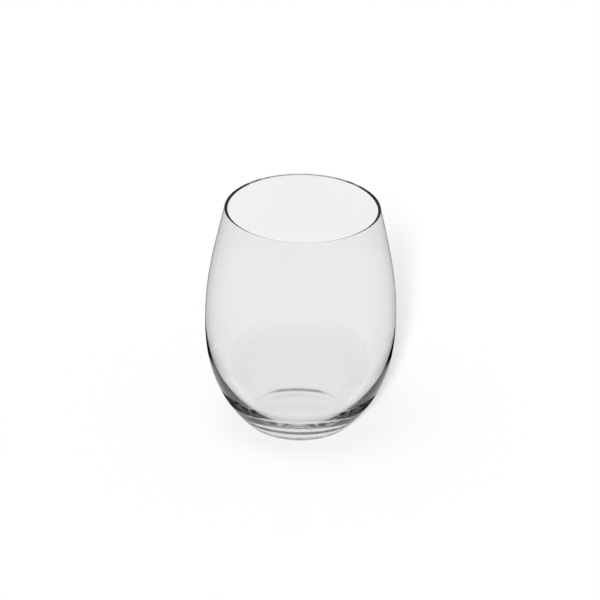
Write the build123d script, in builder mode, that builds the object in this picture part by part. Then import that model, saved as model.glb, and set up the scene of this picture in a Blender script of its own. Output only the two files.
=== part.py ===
"""Stemless wine glass: one blown piece of clear glass, egg-shaped, drawn in at the mouth and thick at the foot.

Millimetres, +Z up, standing on Z = 0 with its axis on Z. The half section is drawn once, on the XZ plane, and
revolved. Outside and inside are each two cubic curves that meet upright at the belly with one curvature, so the
wall reflects as a single sweep from the foot to the rim. It is thinnest at the belly, as blown glass is.
"""

import os
from math import cos, radians, sin, sqrt

from build123d import *

# Outside of the bowl
overall_height = 110.0  # table to the top of the rim
belly_diameter = 89.0  # widest, outside
belly_height = 54.0  # table to the widest place
belly_sweep_radius = 168.0  # upright curvature of the outside at the belly
rim_diameter = 72.6  # outside, where the wall meets the rounded lip
rim_lean = 12.0  # degrees that the wall leans in at the rim
rim_pull = 21.5  # how far the rim's lean carries down the wall

# Foot
foot_diameter = 45.2  # outer edge of the flat standing ring
ring_width = 1.4  # width of the standing ring, with its softened edges
ring_edge_radius = 0.8  # softened edges of the ring, into the hollow and into the heel
punt_depth = 1.5  # hollow under the foot, at the axis
heel_radius = 11.9  # round from the standing ring up to the wall
heel_lift = 25.2  # degrees above the table where the heel leaves the standing ring
heel_rise = 46.0  # degrees above the table where the heel runs into the wall
heel_pull = 22.0  # how far the heel's rise carries up the wall

# Wall and inside
rim_wall = 1.6  # thickness at the lip, which is rounded over its whole width
inner_rim_pull = 12.0  # how far the rim's lean carries down the inside
belly_wall = 1.3  # thickness at the belly
inner_belly_height = 53.5  # table to the widest place inside
inner_sweep_radius = 124.0  # upright curvature of the inside at the belly
floor_height = 4.4  # table to the floor inside
floor_diameter = 42.6  # level part of the floor
corner_radius = 3.2  # round from the floor up to the inside of the wall
corner_rise = 45.0  # degrees above level where the corner runs into the wall
corner_pull = 17.3  # how far the corner's rise carries up the inside

belly_radius = belly_diameter / 2
inner_belly_radius = belly_radius - belly_wall
foot_radius = foot_diameter / 2
ring_inner_radius = foot_radius - ring_width
floor_radius = floor_diameter / 2


def toward(start, angle, distance):
    """The point that lies a distance from start, at an angle in degrees above the level direction outwards."""
    return start[0] + distance * cos(radians(angle)), start[1] + distance * sin(radians(angle))


def belly_handle(handle, radius, sweep_radius):
    """The upright handle at the belly that gives the curve this sweep radius there, for the curve's other handle."""
    return sqrt(2 / 3 * abs(radius - handle[0]) * sweep_radius)


# The lip is a half circle across the wall, square to its lean, with its top at the overall height
lip_centre = (
    rim_diameter / 2 - rim_wall / 2 * cos(radians(rim_lean)),
    overall_height - rim_wall / 2,
)
rim_outer = toward(lip_centre, rim_lean, rim_wall / 2)
rim_inner = toward(lip_centre, rim_lean, -rim_wall / 2)
lip_top = toward(lip_centre, rim_lean + 90, rim_wall / 2)

# Where the rounds of the heel outside and the floor's corner inside run into the wall
heel_end = (
    foot_radius + heel_radius * (sin(radians(heel_rise)) - sin(radians(heel_lift))),
    heel_radius * (cos(radians(heel_lift)) - cos(radians(heel_rise))),
)
corner_end = (
    floor_radius + corner_radius * sin(radians(corner_rise)),
    floor_height + corner_radius * (1 - cos(radians(corner_rise))),
)

# Handles of the four wall curves
heel_handle = toward(heel_end, heel_rise, heel_pull)
rim_outer_handle = toward(rim_outer, rim_lean + 90, -rim_pull)
rim_inner_handle = toward(rim_inner, rim_lean + 90, -inner_rim_pull)
corner_handle = toward(corner_end, corner_rise, corner_pull)

outer_low = belly_handle(heel_handle, belly_radius, belly_sweep_radius)
outer_high = belly_handle(rim_outer_handle, belly_radius, belly_sweep_radius)
inner_low = belly_handle(corner_handle, inner_belly_radius, inner_sweep_radius)
inner_high = belly_handle(rim_inner_handle, inner_belly_radius, inner_sweep_radius)

outer_belly = (belly_radius, belly_height)
inner_belly = (inner_belly_radius, inner_belly_height)

with BuildPart() as glass_bowl:
    with BuildSketch(Plane.XZ) as half_section:
        with BuildLine():
            TangentArc((0, punt_depth), (ring_inner_radius, 0), tangent=(1, 0))
            Line((ring_inner_radius, 0), (foot_radius, 0))
            TangentArc((foot_radius, 0), heel_end, tangent=toward((0, 0), heel_lift, 1))
            Bezier(heel_end, heel_handle, (belly_radius, belly_height - outer_low), outer_belly)
            Bezier(outer_belly, (belly_radius, belly_height + outer_high), rim_outer_handle, rim_outer)
            ThreePointArc(rim_outer, lip_top, rim_inner)
            Bezier(
                rim_inner,
                rim_inner_handle,
                (inner_belly_radius, inner_belly_height + inner_high),
                inner_belly,
            )
            Bezier(
                inner_belly,
                (inner_belly_radius, inner_belly_height - inner_low),
                corner_handle,
                corner_end,
            )
            TangentArc((floor_radius, floor_height), corner_end, tangent=(1, 0))
            Polyline((floor_radius, floor_height), (0, floor_height), (0, punt_depth))
        make_face()
        ring_edges = half_section.vertices().sort_by_distance((foot_radius - ring_width / 2, 0, 0))[:2]
        fillet(ring_edges, radius=ring_edge_radius)
    revolve(axis=Axis.Z)

glass_bowl.part.label = "glass_bowl"

os.makedirs("parts", exist_ok=True)
export_step(glass_bowl.part, "parts/glass_bowl.step")
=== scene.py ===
import math

import bpy
import numpy as np
from mathutils import Matrix


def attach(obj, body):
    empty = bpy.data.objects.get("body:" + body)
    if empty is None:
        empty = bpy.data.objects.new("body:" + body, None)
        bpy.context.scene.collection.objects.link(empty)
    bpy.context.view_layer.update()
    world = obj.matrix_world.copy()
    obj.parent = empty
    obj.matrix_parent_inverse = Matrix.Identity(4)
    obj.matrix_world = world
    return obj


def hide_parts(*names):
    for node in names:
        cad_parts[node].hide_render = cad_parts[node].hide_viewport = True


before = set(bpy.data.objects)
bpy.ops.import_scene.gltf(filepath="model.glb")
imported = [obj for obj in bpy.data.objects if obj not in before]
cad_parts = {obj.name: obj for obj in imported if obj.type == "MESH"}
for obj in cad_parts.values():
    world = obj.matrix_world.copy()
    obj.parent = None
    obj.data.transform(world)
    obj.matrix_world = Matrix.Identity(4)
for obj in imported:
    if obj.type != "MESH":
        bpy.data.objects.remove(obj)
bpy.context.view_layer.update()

scene = bpy.context.scene
scene.view_settings.view_transform = "Standard"

# light that enters the lip runs down inside the wall, so paths need many turns before they are let go
lightTurns = 96
scene.cycles.max_bounces = lightTurns
scene.cycles.transmission_bounces = lightTurns
scene.cycles.glossy_bounces = lightTurns
scene.cycles.caustics_reflective = False
scene.cycles.caustics_refractive = False

millimetre = 0.001  # in metres

glassShape = {  # millimetres and degrees, as in the part's drawing
    "height": 110.0,
    "bellyDiameter": 89.0,
    "bellyHeight": 54.0,
    "bellySweep": 168.0,
    "rimDiameter": 72.6,
    "rimLean": 12.0,
    "rimPull": 21.5,
    "footDiameter": 45.2,
    "ringWidth": 1.4,
    "puntDepth": 1.5,
    "ringEdge": 0.8,
    "heelRadius": 11.9,
    "heelLift": 25.2,
    "heelRise": 46.0,
    "heelPull": 22.0,
    "rimWall": 1.6,
    "innerRimPull": 12.0,
    "bellyWall": 1.3,
    "innerBellyHeight": 53.5,
    "innerSweep": 124.0,
    "floorHeight": 4.4,
    "floorDiameter": 42.6,
    "cornerRadius": 3.2,
    "cornerRise": 45.0,
    "cornerPull": 17.3,
    "around": 240,  # points round the axis
    "points": {  # points along each run of the half section
        "hollow": 16,
        "ringEdge": 6,
        "ring": 4,
        "heel": 24,
        "outerLow": 70,
        "outerHigh": 60,
        "lip": 28,
        "innerHigh": 60,
        "innerLow": 90,
        "corner": 24,
        "floor": 8,
    },
}


# cubic curve through four control points: each weighted by its Bernstein term at t
def cubicCurve(points, count):
    t = np.linspace(0.0, 1.0, count)[:, None]
    p = np.asarray(points, float)
    return (1 - t) ** 3 * p[0] + 3 * t * (1 - t) ** 2 * p[1] + 3 * t * t * (1 - t) * p[2] + t**3 * p[3]


# circular arc: centre plus radius times the cosine and sine of evenly spaced angles, in degrees
def roundArc(centre, radius, start, end, count):
    a = np.radians(np.linspace(start, end, count))
    return np.stack([centre[0] + radius * np.cos(a), centre[1] + radius * np.sin(a)], 1)


# direction at an angle above level: its cosine and sine, in degrees
def heading(angle):
    return np.array([math.cos(math.radians(angle)), math.sin(math.radians(angle))])


# upright handle at the belly: root of two thirds of the sideways reach times the sweep radius
def bellyHandle(handle, radius, sweep):
    return math.sqrt(2 / 3 * abs(radius - handle[0]) * sweep)


# half section of the glass: arcs, cubic curves and straight runs joined end to end, from the axis
# under the foot, out, up, over the lip and down to the axis inside
def halfSection(s):
    count = s["points"]
    bellyRadius, footRadius = s["bellyDiameter"] / 2, s["footDiameter"] / 2
    innerRadius, ringInner = bellyRadius - s["bellyWall"], footRadius - s["ringWidth"]
    floorRadius, halfWall = s["floorDiameter"] / 2, s["rimWall"] / 2

    # lip, a half circle across the wall and square to its lean
    lean = math.radians(s["rimLean"])
    across, down = heading(s["rimLean"]), heading(s["rimLean"] - 90)
    lip = np.array([s["rimDiameter"] / 2 - halfWall * math.cos(lean), s["height"] - halfWall])
    rimOut, rimIn = lip + across * halfWall, lip - across * halfWall
    rimOutHandle, rimInHandle = rimOut + down * s["rimPull"], rimIn + down * s["innerRimPull"]

    # the standing ring's soft edges touch the table line, and the round of the heel or of the hollow
    edge = s["ringEdge"]
    heelCentre = (footRadius, 0) + s["heelRadius"] * heading(90 + s["heelLift"])
    outerReach = math.sqrt((s["heelRadius"] - edge) ** 2 - (heelCentre[1] - edge) ** 2)
    leave = math.degrees(math.atan2(edge - heelCentre[1], outerReach))
    hollow = (ringInner**2 + s["puntDepth"] ** 2) / (2 * s["puntDepth"])
    innerReach = math.sqrt(s["puntDepth"] * (2 * (hollow + edge) - s["puntDepth"]))
    turn = math.degrees(math.asin(innerReach / (hollow + edge)))
    ringOut = heelCentre[0] + outerReach

    # rounds that run into the wall, and the handles of the four wall curves
    heel = roundArc(heelCentre, s["heelRadius"], leave, s["heelRise"] - 90, count["heel"])
    cornerCentre = (floorRadius, s["floorHeight"] + s["cornerRadius"])
    corner = roundArc(cornerCentre, s["cornerRadius"], s["cornerRise"] - 90, -90, count["corner"])
    heelHandle = heel[-1] + s["heelPull"] * heading(s["heelRise"])
    cornerHandle = corner[0] + s["cornerPull"] * heading(s["cornerRise"])
    belly, bellyIn = (bellyRadius, s["bellyHeight"]), (innerRadius, s["innerBellyHeight"])
    outerLow = belly[1] - bellyHandle(heelHandle, bellyRadius, s["bellySweep"])
    outerHigh = belly[1] + bellyHandle(rimOutHandle, bellyRadius, s["bellySweep"])
    innerHigh = bellyIn[1] + bellyHandle(rimInHandle, innerRadius, s["innerSweep"])
    innerLow = bellyIn[1] - bellyHandle(cornerHandle, innerRadius, s["innerSweep"])

    runs = [
        roundArc((0, s["puntDepth"] - hollow), hollow, 90, 90 - turn, count["hollow"]),
        roundArc((innerReach, edge), edge, -90 - turn, -90, count["ringEdge"]),
        np.linspace((innerReach, 0), (ringOut, 0), count["ring"]),
        roundArc((ringOut, edge), edge, -90, leave, count["ringEdge"]),
        heel,
        cubicCurve([heel[-1], heelHandle, (bellyRadius, outerLow), belly], count["outerLow"]),
        cubicCurve([belly, (bellyRadius, outerHigh), rimOutHandle, rimOut], count["outerHigh"]),
        roundArc(lip, halfWall, s["rimLean"], s["rimLean"] + 180, count["lip"]),
        cubicCurve([rimIn, rimInHandle, (innerRadius, innerHigh), bellyIn], count["innerHigh"]),
        cubicCurve([bellyIn, (innerRadius, innerLow), cornerHandle, corner[0]], count["innerLow"]),
        corner,
        np.linspace(corner[-1], (0, s["floorHeight"]), count["floor"]),
    ]
    return np.vstack([runs[0]] + [run[1:] for run in runs[1:]])


# surface of revolution: the half section's radius times the cosine and sine of the turn, with its
# height kept, closed at both ends by a fan round one point on the axis
def turnedSurface(name, section, around):
    turn = np.arange(around) * (2 * math.pi / around)
    rings = section[1:-1]
    x, y = np.outer(rings[:, 0], np.cos(turn)), np.outer(rings[:, 0], np.sin(turn))
    z = np.repeat(rings[:, 1:2], around, axis=1)
    grid = np.stack([x, y, z], -1).reshape(-1, 3)
    points = np.vstack([[(0, 0, section[0, 1])], grid, [(0, 0, section[-1, 1])]]) * millimetre
    here = np.arange(around)
    nextOne = (here + 1) % around
    start = 1 + np.arange(len(rings) - 1)[:, None] * around
    above = start + around
    quads = np.stack([start + here, start + nextOne, above + nextOne, above + here], -1).reshape(-1, 4)
    last = len(points) - 1
    under = np.stack([np.zeros(around, int), 1 + nextOne, 1 + here], -1)
    over = np.stack([np.full(around, last), last - around + here, last - around + nextOne], -1)
    corners = np.concatenate([quads.ravel(), under.ravel(), over.ravel()])
    sizes = np.concatenate([np.full(len(quads), 4), np.full(2 * around, 3)])
    mesh = bpy.data.meshes.new(name)
    mesh.vertices.add(len(points))
    mesh.vertices.foreach_set("co", points.ravel())
    mesh.loops.add(len(corners))
    mesh.loops.foreach_set("vertex_index", corners)
    mesh.polygons.add(len(sizes))
    mesh.polygons.foreach_set("loop_start", np.concatenate([[0], np.cumsum(sizes)[:-1]]))
    mesh.polygons.foreach_set("use_smooth", np.ones(len(sizes), bool))
    mesh.update(calc_edges=True)
    mesh.validate()
    piece = bpy.data.objects.new(name, mesh)
    scene.collection.objects.link(piece)
    return piece


# a node with its settings, each socket fed by a plain value or by another node's output
def addNode(tree, kind, feeds=None, **settings):
    node = tree.nodes.new(kind)
    for key, value in settings.items():
        setattr(node, key, value)
    for socket, value in (feeds or {}).items():
        if isinstance(value, bpy.types.NodeSocket):
            tree.links.new(value, node.inputs[socket])
        else:
            node.inputs[socket].default_value = value
    return node


# grey: one level for red, green and blue
def greyColour(level):
    return (level, level, level, 1.0)


# an even change from a first level to a last as a value goes from start to end, held at both ends
def blend(tree, value, start, end, first, last):
    feeds = {"Value": value, "From Min": start, "From Max": end, "To Min": first, "To Max": last}
    return addNode(tree, "ShaderNodeMapRange", feeds).outputs[0]


# one step of arithmetic on one value or two, by its kind: a product, a sum, the larger, an arc or degrees
def calculate(tree, kind, first, second=0.0):
    return addNode(tree, "ShaderNodeMath", {0: first, 1: second}, operation=kind).outputs[0]


glassLook = {  # sizes in metres
    "ior": 1.52,
    "clear": (0.954, 0.96),  # share of light that two surfaces let through, least and most
    "clearFrom": (0.3, 0.7),  # the waves' levels between which it changes
    "fadeDensity": 4.0,  # how fast light fades along a path in the glass, for each metre
    "fadeColour": 0.2,
    "waveSize": 0.016,  # across the faint waves of the wall, drawn out upwards
    "waveStretch": (1.0, 1.0, 0.35),
    "waveHeight": 0.000012,
    "seedSpacing": 0.011,  # between the few tiny seeds, and their size and dent
    "seedSize": 0.00045,
    "seedDent": 0.00006,
    "film": (0.0, 0.006),  # roughness where the glass is clean, and where a drying film is left
    "filmFrom": (0.5, 0.8),  # the patches' levels between which it changes
    "filmSize": 0.03,
    "shadowClear": 0.995,  # share of a lamp's light that one surface lets through, square on and edge on
    "shadowEdge": 0.78,
    "shadowFrom": 0.4,  # how far a surface turns away before it dims the light more
}


# clear glass with faint drawn waves, a few seeds and a trace of drying film: noise in the object's own
# metres; light fades with the length of its path inside; lamps shine through on straight lines, dimmed
# a little more where the surface turns away
def clearGlass(look):
    material = bpy.data.materials.new("clearGlass")
    material.use_nodes = True
    tree = material.node_tree
    shader = tree.nodes["Principled BSDF"]
    shader.inputs["IOR"].default_value = look["ior"]
    shader.inputs["Transmission Weight"].default_value = 1.0

    where = addNode(tree, "ShaderNodeTexCoord").outputs["Object"]
    drawn = addNode(tree, "ShaderNodeMapping", {"Vector": where, "Scale": look["waveStretch"]}).outputs[0]
    waves = addNode(tree, "ShaderNodeTexNoise", {"Vector": drawn, "Scale": 1 / look["waveSize"]}).outputs[0]
    spread = {"Vector": where, "Scale": 1 / look["seedSpacing"]}
    cells = addNode(tree, "ShaderNodeTexVoronoi", spread).outputs[0]
    seeds = blend(tree, cells, 0, look["seedSize"] / look["seedSpacing"], 0, 1)
    film = addNode(tree, "ShaderNodeTexNoise", {"Vector": where, "Scale": 1 / look["filmSize"]}).outputs[0]
    wavy = addNode(tree, "ShaderNodeBump", {"Height": waves, "Distance": look["waveHeight"]}).outputs[0]
    dents = {"Height": seeds, "Distance": look["seedDent"], "Normal": wavy}
    dented = addNode(tree, "ShaderNodeBump", dents).outputs[0]
    tree.links.new(dented, shader.inputs["Normal"])
    tree.links.new(blend(tree, film, *look["filmFrom"], *look["film"]), shader.inputs["Roughness"])
    tree.links.new(blend(tree, waves, *look["clearFrom"], *look["clear"]), shader.inputs["Base Color"])

    turned = addNode(tree, "ShaderNodeLayerWeight").outputs["Facing"]
    dim = blend(tree, turned, look["shadowFrom"], 1.0, look["shadowClear"], look["shadowEdge"])
    through = addNode(tree, "ShaderNodeBsdfTransparent", {"Color": dim})
    toLamp = addNode(tree, "ShaderNodeLightPath").outputs["Is Shadow Ray"]
    mix = addNode(tree, "ShaderNodeMixShader", {0: toLamp, 1: shader.outputs[0], 2: through.outputs[0]})
    fading = {"Color": greyColour(look["fadeColour"]), "Density": look["fadeDensity"]}
    fade = addNode(tree, "ShaderNodeVolumeAbsorption", fading)
    tree.links.new(mix.outputs[0], tree.nodes["Material Output"].inputs["Surface"])
    tree.links.new(fade.outputs[0], tree.nodes["Material Output"].inputs["Volume"])
    return material


bowl = turnedSurface("glassBowl", halfSection(glassShape), glassShape["around"])
bowl.data.materials.append(clearGlass(glassLook))
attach(bowl, "root")
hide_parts("glass_bowl")
print("glass turned,", len(bowl.data.vertices), "points")

floorLook = {  # sizes in metres; each ramp gives shares of white at distances from the glass's axis
    "halfSize": 4.0,
    "drop": 0.00005,  # a hair under the table line, so that the standing ring shares no plane with it
    "colour": 0.97,
    # seen straight through the glass: painted shade under the foot, where the glass shades the floor, and
    # darker again far behind
    "through": [(0.0, 0.91), (0.021, 0.91), (0.03, 0.965), (0.18, 0.965), (0.2, 0.925)],
    # mirrored by the outside of the glass: painted shade, dark under the belly where the glass shades the
    # floor, with a pale ring just past it and dark again further out
    "outside": [
        (0.0, 0.5), (0.034, 0.5), (0.036, 0.0), (0.044, 0.0), (0.046, 0.8), (0.07, 0.6), (0.08, 0.0),
    ],
    # mirrored within the glass
    "within": [(0.0, 0.9), (0.04, 0.85), (0.08, 0.95)],
}


# grey ramp: straight changes of level between stops at stated places, held past the first and last
def greyRamp(tree, value, stops):
    first, last = stops[0][0], stops[-1][0]
    ramp = addNode(tree, "ShaderNodeValToRGB", {0: blend(tree, value, first, last, 0, 1)})
    points = ramp.color_ramp.elements
    while len(points) < len(stops):
        points.new(1.0)
    for point, (place, level) in zip(points, stops):
        point.position = (place - first) / (last - first)
        point.color = greyColour(level)
    return ramp.outputs[0]


# white paper under the lamps; what the glass shows of it glows at levels of its own, by the distance from
# the axis, with painted shade under the foot and under the belly: one ramp straight through the glass, one
# mirrored by its outside and one mirrored within it
def paleFloor(look):
    h, low = look["halfSize"], -look["drop"]
    mesh = bpy.data.meshes.new("paleFloor")
    mesh.from_pydata([(-h, -h, low), (h, -h, low), (h, h, low), (-h, h, low)], [], [(0, 1, 2, 3)])
    sheet = bpy.data.objects.new("paleFloor", mesh)
    scene.collection.objects.link(sheet)
    material = bpy.data.materials.new("palePaperWithPaintedShade")
    material.use_nodes = True
    tree = material.node_tree
    tree.nodes.clear()
    where = addNode(tree, "ShaderNodeTexCoord").outputs["Object"]
    off = addNode(tree, "ShaderNodeVectorMath", {0: where}, operation="LENGTH").outputs["Value"]
    outside, within = greyRamp(tree, off, look["outside"]), greyRamp(tree, off, look["within"])
    path = addNode(tree, "ShaderNodeLightPath").outputs
    mirrored = blend(tree, path["Transmission Depth"], 0, 1, outside, within)
    level = blend(tree, path["Glossy Depth"], 0, 1, greyRamp(tree, off, look["through"]), mirrored)
    paper = addNode(tree, "ShaderNodeBsdfDiffuse", {"Color": greyColour(look["colour"])})
    # painted shade: for rays bent by the glass the paper glows at the ramps' levels, darker under the foot
    # and under the belly
    glowWithPaintedShade = addNode(tree, "ShaderNodeEmission", {"Color": level})
    bent = calculate(tree, "MAXIMUM", path["Is Glossy Ray"], path["Is Transmission Ray"])
    mix = addNode(tree, "ShaderNodeMixShader", {0: bent, 1: paper.outputs[0], 2: glowWithPaintedShade.outputs[0]})
    addNode(tree, "ShaderNodeOutputMaterial", {"Surface": mix.outputs[0]})
    mesh.materials.append(material)


paleFloor(floorLook)
print("floor laid")

roomLook = {  # levels are shares of white
    "fill": 0.06,  # even light on the floor
    "outside": 0.02,  # what the outside of the glass mirrors
    "cards": {  # pale cards in a dark room: degrees round from straight behind to the right, and degrees up
        "low": {"round": (-28, 28), "up": (-10, 17), "level": 0.85},
        "step": {"round": (-8, 27), "up": (17, 25), "level": 0.5},
        "middle": {"round": (-35, 35), "up": (25, 46), "level": 0.16},
        "left": {"round": (-95, -50), "up": (28, 44), "level": 0.4},
        "right": {"round": (50, 95), "up": (28, 44), "level": 0.4},
        "frontLeft": {"round": (-200, -150), "up": (-10, 10), "level": 0.8},
        "frontRight": {"round": (150, 200), "up": (-10, 10), "level": 0.8},
        "high": {"round": (-60, 45), "up": (46, 62), "level": 1.0},
        "top": {"round": (-220, 220), "up": (62, 100), "level": 1.0},
    },
    "softRound": 12.0,  # degrees over which a card's sides fade, and its lower and upper edges
    "softUp": 4.0,
}


# degrees round from straight behind the glass, to the right: the arc tangent of sideways over backwards
def degreesRound(tree, parts):
    return calculate(tree, "DEGREES", calculate(tree, "ARCTAN2", parts["X"], parts["Y"]))


# degrees up from level: the arc sine of the height
def degreesUp(tree, parts):
    return calculate(tree, "DEGREES", calculate(tree, "ARCSINE", parts["Z"]))


# soft window: one between two places, falling to nothing over a soft reach at both ends
def softWindow(tree, value, places, soft):
    rise = blend(tree, value, places[0] - soft, places[0] + soft, 0, 1)
    fall = blend(tree, value, places[1] - soft, places[1] + soft, 1, 0)
    return calculate(tree, "MULTIPLY", rise, fall)


# the room: white for what looks straight at it, an even fill for the floor, dark for what the outside
# of the glass mirrors, and for what is mirrored within it the sum of a few pale cards, each its level
# times its two soft windows
def studioRoom(look):
    world = bpy.data.worlds.new("studioRoom")
    scene.world = world
    world.use_nodes = True
    tree = world.node_tree
    tree.nodes.clear()
    toward = addNode(tree, "ShaderNodeTexCoord").outputs["Generated"]
    parts = addNode(tree, "ShaderNodeSeparateXYZ", {0: toward}).outputs
    turned, raised = degreesRound(tree, parts), degreesUp(tree, parts)
    cards = 0.0
    for card in look["cards"].values():
        across = softWindow(tree, turned, card["round"], look["softRound"])
        upright = softWindow(tree, raised, card["up"], look["softUp"])
        pale = calculate(tree, "MULTIPLY", calculate(tree, "MULTIPLY", across, upright), card["level"])
        cards = calculate(tree, "ADD", cards, pale)
    path = addNode(tree, "ShaderNodeLightPath").outputs
    seen = calculate(tree, "MAXIMUM", path["Is Camera Ray"], path["Is Transmission Ray"])
    straight = blend(tree, seen, 0, 1, look["fill"], 1.0)
    mirrored = blend(tree, path["Transmission Depth"], 0, 1, look["outside"], cards)
    level = blend(tree, path["Glossy Depth"], 0, 1, straight, mirrored)
    light = addNode(tree, "ShaderNodeBackground", {"Color": level})
    addNode(tree, "ShaderNodeOutputWorld", {"Surface": light.outputs[0]})


studioRoom(roomLook)
print("room set,", len(roomLook["cards"]), "pale cards")

lampLook = {  # share of the floor's light, where each lamp stands, and how wide it looks, in degrees
    "key": {"share": 0.83, "around": -3.6, "up": 29.0, "wide": 6.0},
    "top": {"share": 0.145, "around": -60.0, "up": 78.0, "wide": 36.0},
}


# place and turn of a lamp or camera: its right, up and backward directions and its place as four columns
def standing(right, up, back, place):
    turn = np.eye(4)
    turn[:3] = np.stack([right, up, back, place], 1)
    return Matrix(turn.tolist())


# far lamp: a sun whose strength is its share of a white floor's light, times pi, over the sine of how
# far up it stands
def farLamp(name, look):
    around, up = math.radians(look["around"]), math.radians(look["up"])
    lamp = bpy.data.lights.new(name, "SUN")
    lamp.energy = look["share"] * math.pi / math.sin(up)
    lamp.angle = math.radians(look["wide"])
    holder = bpy.data.objects.new(name, lamp)
    scene.collection.objects.link(holder)
    back = np.array([math.sin(around) * math.cos(up), -math.cos(around) * math.cos(up), math.sin(up)])
    side = np.cross((0, 0, 1), back)
    side /= np.linalg.norm(side)
    holder.matrix_world = standing(side, np.cross(back, side), back, back)
    holder.visible_glossy = False
    holder.visible_transmission = False


for lampName, lampValues in lampLook.items():
    farLamp(lampName, lampValues)
print("studio lit")

viewLook = {  # millimetres, degrees and pixels
    "elevation": 27.47,
    "roll": 1.15,
    "distance": 2800.0,
    "aim": 55.0,  # height of the aim point on the glass's axis
    "at": (300.6, 313.56),  # pixel where the aim point lands
    "scale": 0.46587,  # millimetres for each pixel
    "picture": 600,  # pixels across the square picture
    "sensor": 36.0,
    "farEnd": 50000.0,  # how far the camera sees
}


# long lens: the aim point lands on a stated pixel of the square picture, at a stated scale; the focal
# length is the sensor's width times the distance over the width that the picture takes in
def photoCamera(look):
    camera = bpy.data.objects.new("photoCamera", bpy.data.cameras.new("photoCamera"))
    scene.collection.objects.link(camera)
    rise, roll = math.radians(look["elevation"]), math.radians(look["roll"])
    ahead = np.array([0, math.cos(rise), -math.sin(rise)])
    level, upright = np.array([1.0, 0, 0]), np.array([0, math.sin(rise), math.cos(rise)])
    right = math.cos(roll) * level + math.sin(roll) * upright
    up = -math.sin(roll) * level + math.cos(roll) * upright
    across, down = (np.array(look["at"]) - look["picture"] / 2) * look["scale"]
    place = np.array([0, 0, look["aim"]]) - ahead * look["distance"] - right * across + up * down
    camera.matrix_world = standing(right, up, -ahead, place * millimetre)
    camera.data.sensor_width = look["sensor"]
    camera.data.lens = look["sensor"] * look["distance"] / (look["picture"] * look["scale"])
    camera.data.clip_end = look["farEnd"] * millimetre
    scene.camera = camera


photoCamera(viewLook)
print("camera set")
